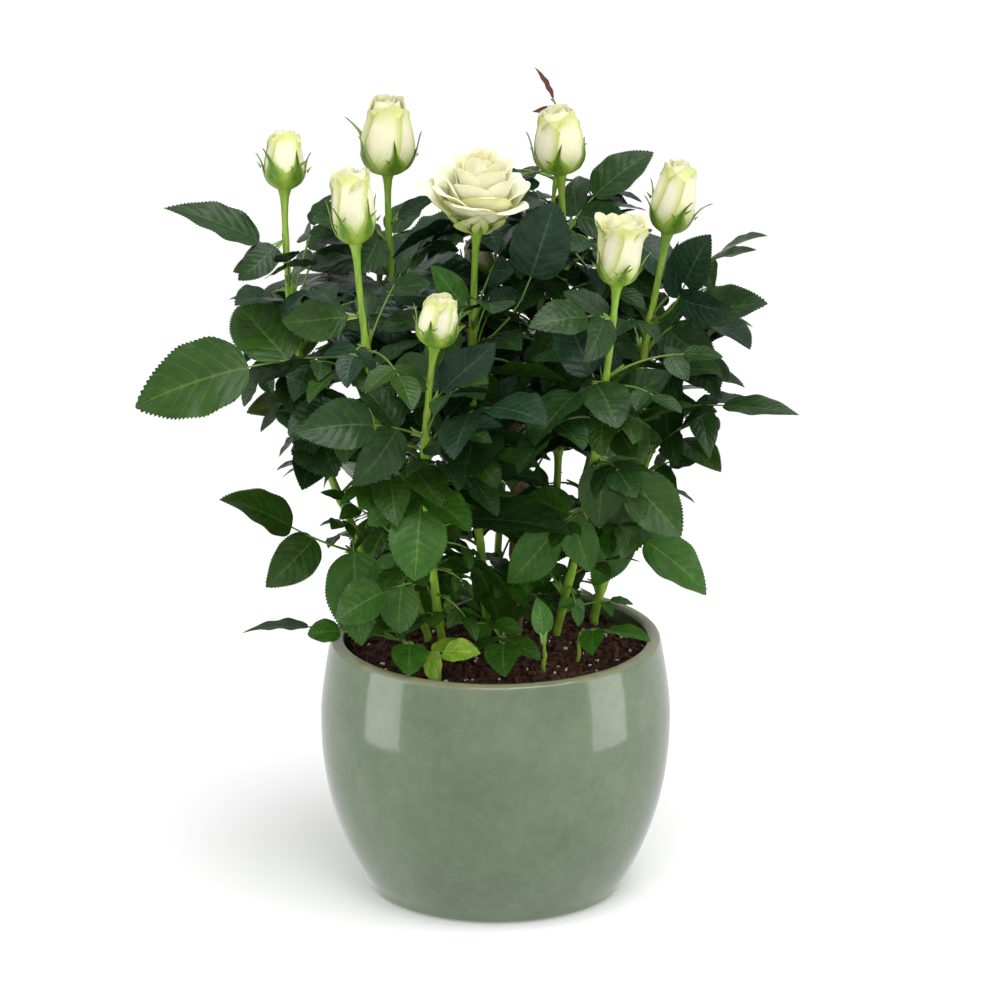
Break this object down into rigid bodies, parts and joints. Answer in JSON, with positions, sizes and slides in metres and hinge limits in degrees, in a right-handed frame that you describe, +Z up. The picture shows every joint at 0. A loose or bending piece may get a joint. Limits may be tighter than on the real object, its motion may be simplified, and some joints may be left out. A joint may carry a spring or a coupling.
{
  "type": "potted rose bush",
  "caption": "Small patio rose in a round glazed pot: upright green canes, glossy serrated leaves and pale cream buds.",
  "frame": {"origin": "centre of the pot's flat underside", "axes": "+Z up, the plant's front faces -Y, +X to its right as seen from the front"},
  "size_m": [0.352, 0.2743, 0.4403],
  "materials": {
    "pot glaze": "glossy mottled celadon glaze, sage green, thinner and tan at the lip",
    "potting soil": "moist dark brown potting mix with white perlite grains",
    "green cane bark": "smooth young green rose bark with small prickles",
    "old cane bark": "dull brown bark of an old cane",
    "leaves and blossom": "glossy dark green serrated rose leaves, lime stems and sepals, cream petals edged with lime"
  },
  "bodies": {
    "root": {"cane_back": "green cane bark", "cane_centre": "green cane bark", "cane_front": "green cane bark", "cane_left_back": "green cane bark", "cane_left_far": "green cane bark", "cane_left_front": "green cane bark", "cane_old_wood": "old cane bark", "cane_rear": "green cane bark", "cane_rear_left": "green cane bark", "cane_rear_right": "green cane bark", "cane_right": "green cane bark", "cane_right_far": "green cane bark", "cane_right_front": "green cane bark", "cane_tall_shoot": "green cane bark", "leaves_back": "leaves and blossom", "leaves_centre": "leaves and blossom", "leaves_front": "leaves and blossom", "leaves_left_back": "leaves and blossom", "leaves_left_far": "leaves and blossom", "leaves_left_front": "leaves and blossom", "leaves_old_wood": "leaves and blossom", "leaves_rear": "leaves and blossom", "leaves_rear_left": "leaves and blossom", "leaves_rear_right": "leaves and blossom", "leaves_right": "leaves and blossom", "leaves_right_far": "leaves and blossom", "leaves_right_front": "leaves and blossom", "leaves_tall_shoot": "leaves and blossom", "low_spray_front": "leaves and blossom", "low_spray_front_left": "leaves and blossom", "low_spray_left": "leaves and blossom", "low_spray_middle": "leaves and blossom", "low_spray_right": "leaves and blossom", "pot": "pot glaze", "potting_soil": "potting soil"}
  },
  "joints": []
}
